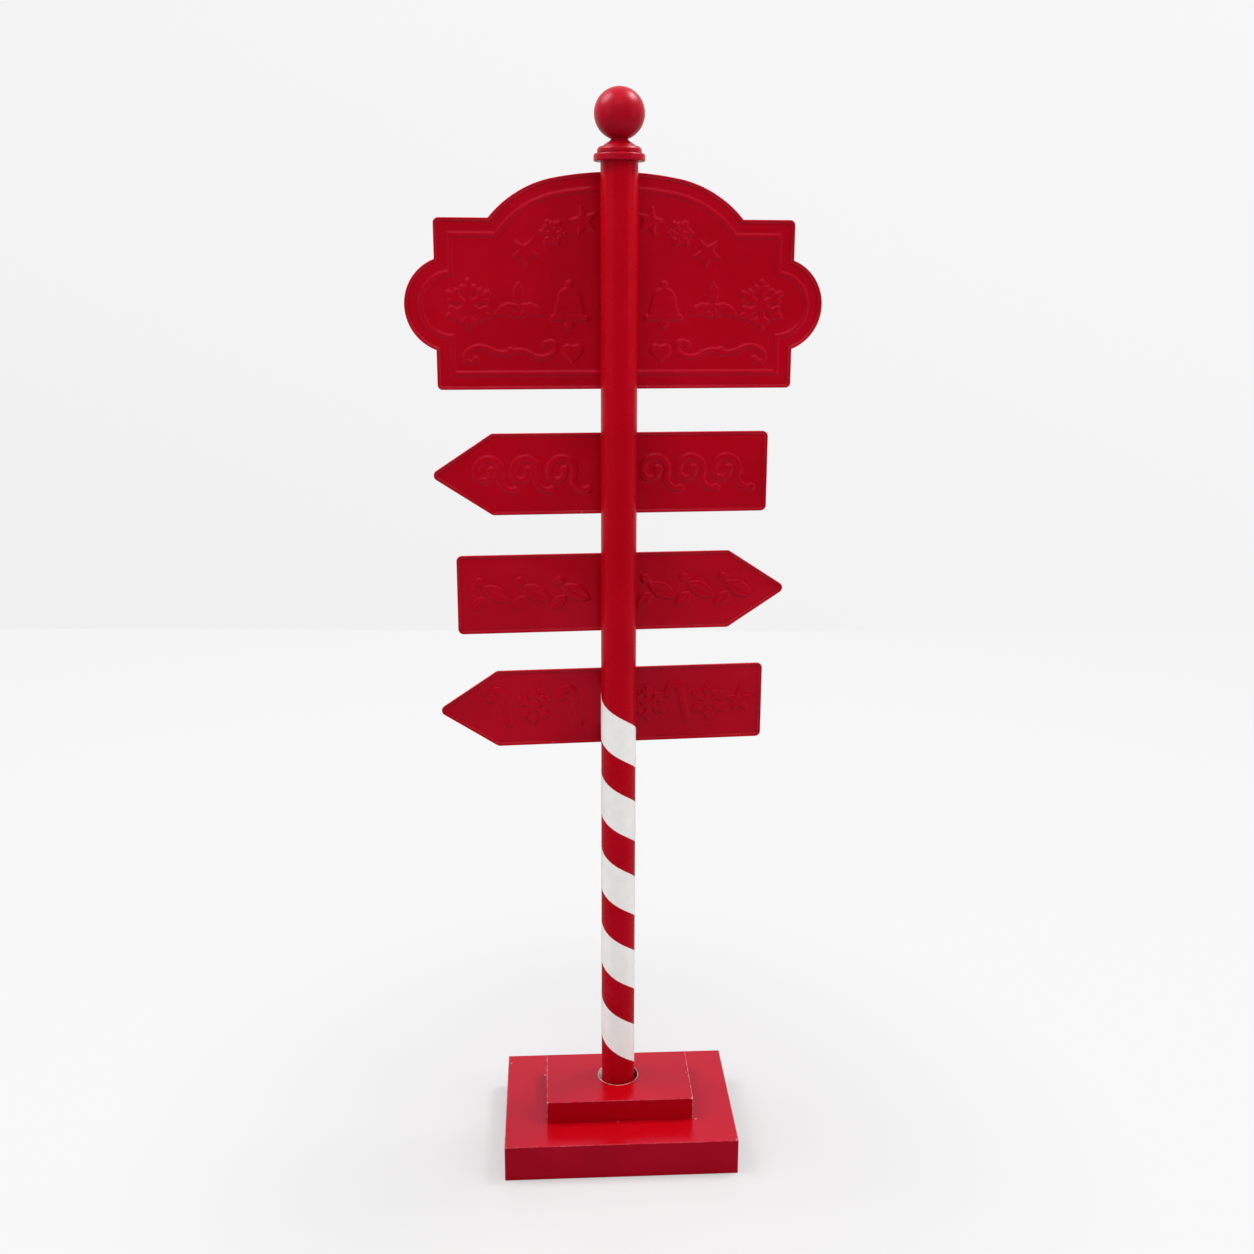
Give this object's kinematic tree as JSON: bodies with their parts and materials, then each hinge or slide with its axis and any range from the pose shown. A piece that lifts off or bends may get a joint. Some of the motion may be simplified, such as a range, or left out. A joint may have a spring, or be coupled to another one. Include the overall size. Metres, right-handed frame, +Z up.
{
  "type": "christmas signpost",
  "caption": "Free-standing Christmas signpost with a striped round pole, ball finial, shaped sign board and arrow boards of pressed sheet on a two-tier base.",
  "frame": {"origin": "on the floor, on the pole's axis", "axes": "+Z up along the pole, +X along the boards, +Y from the pole to the boards, so the side with the pole in front of the boards faces -Y"},
  "size_m": [0.5838, 0.2728, 1.5595],
  "materials": {
    "base_paint": "wood board under red satin paint, pale and worn along the edges",
    "pole_paint": "turned wood under red satin paint",
    "white_band": "smooth white film",
    "sheet_paint": "pressed sheet steel under red satin paint",
    "zinc_steel": "zinc-plated steel",
    "insert_brass": "plain brass",
    "beech": "bare beech"
  },
  "bodies": {
    "root": {"base_lower_tier": "base_paint", "base_upper_tier": "base_paint", "base_tier_screws": "zinc_steel", "pole": "pole_paint", "white_stripe": "white_band", "pole_insert": "insert_brass", "pole_bolt": "zinc_steel", "pole_washer": "zinc_steel", "finial": "pole_paint", "finial_dowel": "beech", "top_board": "sheet_paint", "top_board_screws": "zinc_steel", "upper_arrow_board": "sheet_paint", "upper_arrow_screws": "zinc_steel", "middle_arrow_board": "sheet_paint", "middle_arrow_screws": "zinc_steel", "lower_arrow_board": "sheet_paint", "lower_arrow_screws": "zinc_steel"}
  },
  "joints": []
}
